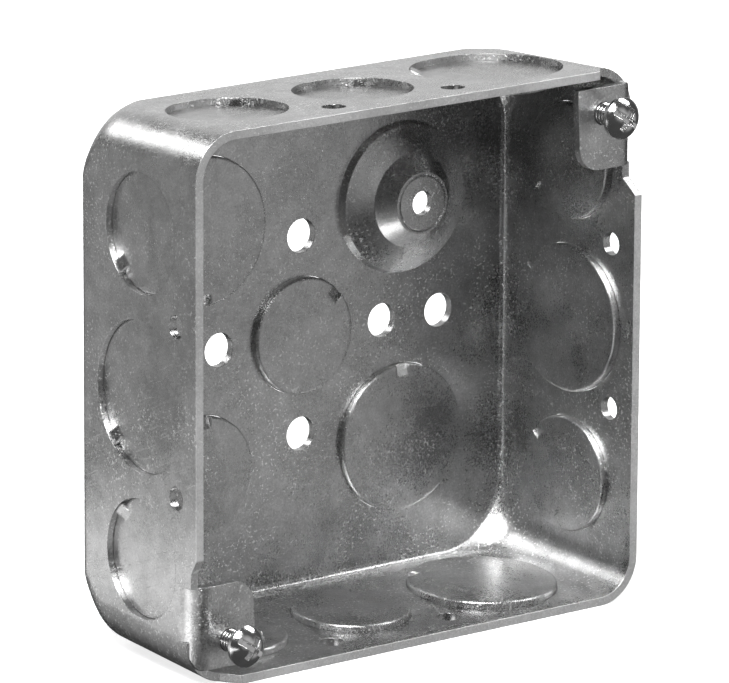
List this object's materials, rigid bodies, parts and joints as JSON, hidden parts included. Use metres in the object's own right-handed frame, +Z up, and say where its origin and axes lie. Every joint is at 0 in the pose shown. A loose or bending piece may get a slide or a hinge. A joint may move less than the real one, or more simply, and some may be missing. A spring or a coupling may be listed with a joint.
{
  "type": "electrical junction box",
  "caption": "Square drawn-steel electrical junction box with bend-in round knockouts, a raised ground-screw seat and two diagonal ears with cover screws.",
  "frame": {"origin": "centre of the back wall's outer face, which is also the centre of the wall-screw holes", "axes": "+X right, +Z up, +Y out of the back of the box into the wall; the open face looks along -Y"},
  "size_m": [0.1016, 0.0441, 0.1016],
  "materials": {
    "galvanised_sheet": "satin galvanised",
    "knockout_sheet": "satin galvanised",
    "zinc_screw": "bright zinc plated"
  },
  "bodies": {
    "box": {"box_shell": "galvanised_sheet"},
    "knockout_left_upper": {"knockout_left_upper": "knockout_sheet"},
    "knockout_left_middle": {"knockout_left_middle": "knockout_sheet"},
    "knockout_left_lower": {"knockout_left_lower": "knockout_sheet"},
    "knockout_right_upper": {"knockout_right_upper": "knockout_sheet"},
    "knockout_right_middle": {"knockout_right_middle": "knockout_sheet"},
    "knockout_right_lower": {"knockout_right_lower": "knockout_sheet"},
    "knockout_top_left": {"knockout_top_left": "knockout_sheet"},
    "knockout_top_middle": {"knockout_top_middle": "knockout_sheet"},
    "knockout_top_right": {"knockout_top_right": "knockout_sheet"},
    "knockout_bottom_left": {"knockout_bottom_left": "knockout_sheet"},
    "knockout_bottom_middle": {"knockout_bottom_middle": "knockout_sheet"},
    "knockout_bottom_right": {"knockout_bottom_right": "knockout_sheet"},
    "knockout_back_centre": {"knockout_back_centre": "knockout_sheet"},
    "knockout_back_upper_left": {"knockout_back_upper_left": "knockout_sheet"},
    "knockout_back_lower_left": {"knockout_back_lower_left": "knockout_sheet"},
    "knockout_back_lower_right": {"knockout_back_lower_right": "knockout_sheet"},
    "cover_screw_upper_right": {"cover_screw_upper_right": "zinc_screw"},
    "cover_screw_lower_left": {"cover_screw_lower_left": "zinc_screw"}
  },
  "joints": [
    {"name": "bend_left_upper", "type": "hinge", "parent": "box", "child": "knockout_left_upper", "pos_m": [-0.04813, -0.0127, 0.02222], "axis": [0.0297, 0.7068, 0.7068], "range_deg": [0, 65]},
    {"name": "bend_left_middle", "type": "hinge", "parent": "box", "child": "knockout_left_middle", "pos_m": [-0.04804, -0.01058, -0.0099], "axis": [0.0297, 0.7068, 0.7068], "range_deg": [0, 65]},
    {"name": "bend_left_lower", "type": "hinge", "parent": "box", "child": "knockout_left_lower", "pos_m": [-0.04813, -0.0127, -0.02222], "axis": [0.0297, 0.7068, -0.7068], "range_deg": [-65, 0]},
    {"name": "bend_right_upper", "type": "hinge", "parent": "box", "child": "knockout_right_upper", "pos_m": [0.04813, -0.0127, 0.02222], "axis": [0.0297, -0.7068, -0.7068], "range_deg": [0, 65]},
    {"name": "bend_right_middle", "type": "hinge", "parent": "box", "child": "knockout_right_middle", "pos_m": [0.04804, -0.01058, 0.0099], "axis": [0.0297, -0.7068, 0.7068], "range_deg": [-65, 0]},
    {"name": "bend_right_lower", "type": "hinge", "parent": "box", "child": "knockout_right_lower", "pos_m": [0.04813, -0.0127, -0.02222], "axis": [0.0297, -0.7068, 0.7068], "range_deg": [-65, 0]},
    {"name": "bend_top_left", "type": "hinge", "parent": "box", "child": "knockout_top_left", "pos_m": [-0.02312, -0.0127, 0.04813], "axis": [-0.7068, 0.7068, -0.0297], "range_deg": [-65, 0]},
    {"name": "bend_top_middle", "type": "hinge", "parent": "box", "child": "knockout_top_middle", "pos_m": [0.00508, -0.0127, 0.04813], "axis": [0.7068, -0.7068, 0.0297], "range_deg": [0, 65]},
    {"name": "bend_top_right", "type": "hinge", "parent": "box", "child": "knockout_top_right", "pos_m": [0.0182, -0.01058, 0.04804], "axis": [-0.7068, -0.7068, 0.0297], "range_deg": [-65, 0]},
    {"name": "bend_bottom_left", "type": "hinge", "parent": "box", "child": "knockout_bottom_left", "pos_m": [-0.02312, -0.0127, -0.04813], "axis": [-0.7068, 0.7068, 0.0297], "range_deg": [0, 65]},
    {"name": "bend_bottom_middle", "type": "hinge", "parent": "box", "child": "knockout_bottom_middle", "pos_m": [0.00508, -0.0127, -0.04813], "axis": [-0.7068, 0.7068, 0.0297], "range_deg": [0, 65]},
    {"name": "bend_bottom_right", "type": "hinge", "parent": "box", "child": "knockout_bottom_right", "pos_m": [0.0182, -0.01058, -0.04804], "axis": [0.7068, 0.7068, 0.0297], "range_deg": [-65, 0]},
    {"name": "bend_back_centre", "type": "hinge", "parent": "box", "child": "knockout_back_centre", "pos_m": [0.00778, -0.0016, 0.00778], "axis": [-0.7071, 0, 0.7071], "range_deg": [0, 65]},
    {"name": "bend_back_upper_left", "type": "hinge", "parent": "box", "child": "knockout_back_upper_left", "pos_m": [-0.0229, -0.0016, 0.0089], "axis": [1, 0, 0], "range_deg": [0, 65]},
    {"name": "bend_back_lower_left", "type": "hinge", "parent": "box", "child": "knockout_back_lower_left", "pos_m": [-0.0229, -0.0016, -0.0119], "axis": [1, 0, 0], "range_deg": [-65, 0]},
    {"name": "bend_back_lower_right", "type": "hinge", "parent": "box", "child": "knockout_back_lower_right", "pos_m": [0.0229, -0.0016, -0.0089], "axis": [-1, 0, 0], "range_deg": [0, 65]},
    {"name": "cover_screw_upper_right_travel", "type": "slide", "parent": "box", "child": "cover_screw_upper_right", "axis": [0, 1, 0], "range_m": [-0.003, 0.0044]},
    {"name": "cover_screw_lower_left_travel", "type": "slide", "parent": "box", "child": "cover_screw_lower_left", "axis": [0, 1, 0], "range_m": [-0.003, 0.0044]}
  ]
}
